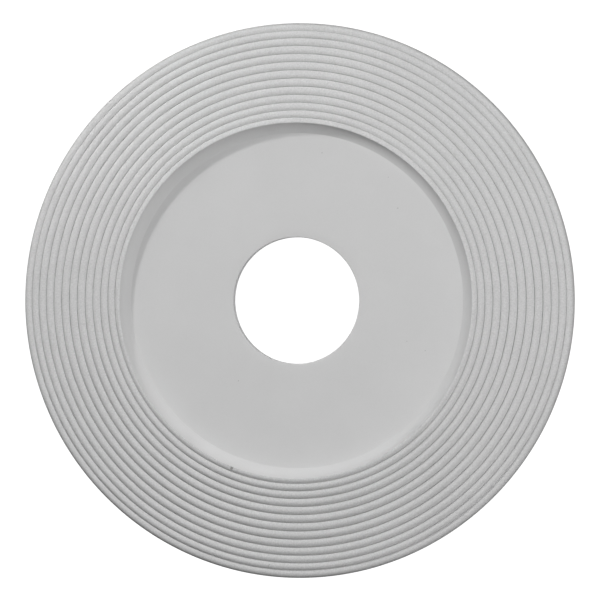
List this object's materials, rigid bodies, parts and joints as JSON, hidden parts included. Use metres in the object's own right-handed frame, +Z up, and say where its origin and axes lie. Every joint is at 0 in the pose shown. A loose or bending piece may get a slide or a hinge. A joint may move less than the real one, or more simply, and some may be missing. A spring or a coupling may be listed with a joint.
{
  "type": "ceiling rose",
  "caption": "Round ceiling rose with a reeded rim that falls to a thin edge, a cove, and a flat recessed centre with a hole for a lamp's wires.",
  "frame": {"origin": "centre of the flat back, on the ceiling's surface", "axes": "+Z up into the ceiling, along the axis of the hole; the moulded face looks down, along -Z; the form is round, so X and Y are alike"},
  "size_m": [0.4079, 0.408, 0.0165],
  "materials": {
    "primed_casting": "dense moulded foam with a factory coat of matt white primer"
  },
  "bodies": {
    "root": {"ceiling_rose": "primed_casting"}
  },
  "joints": []
}
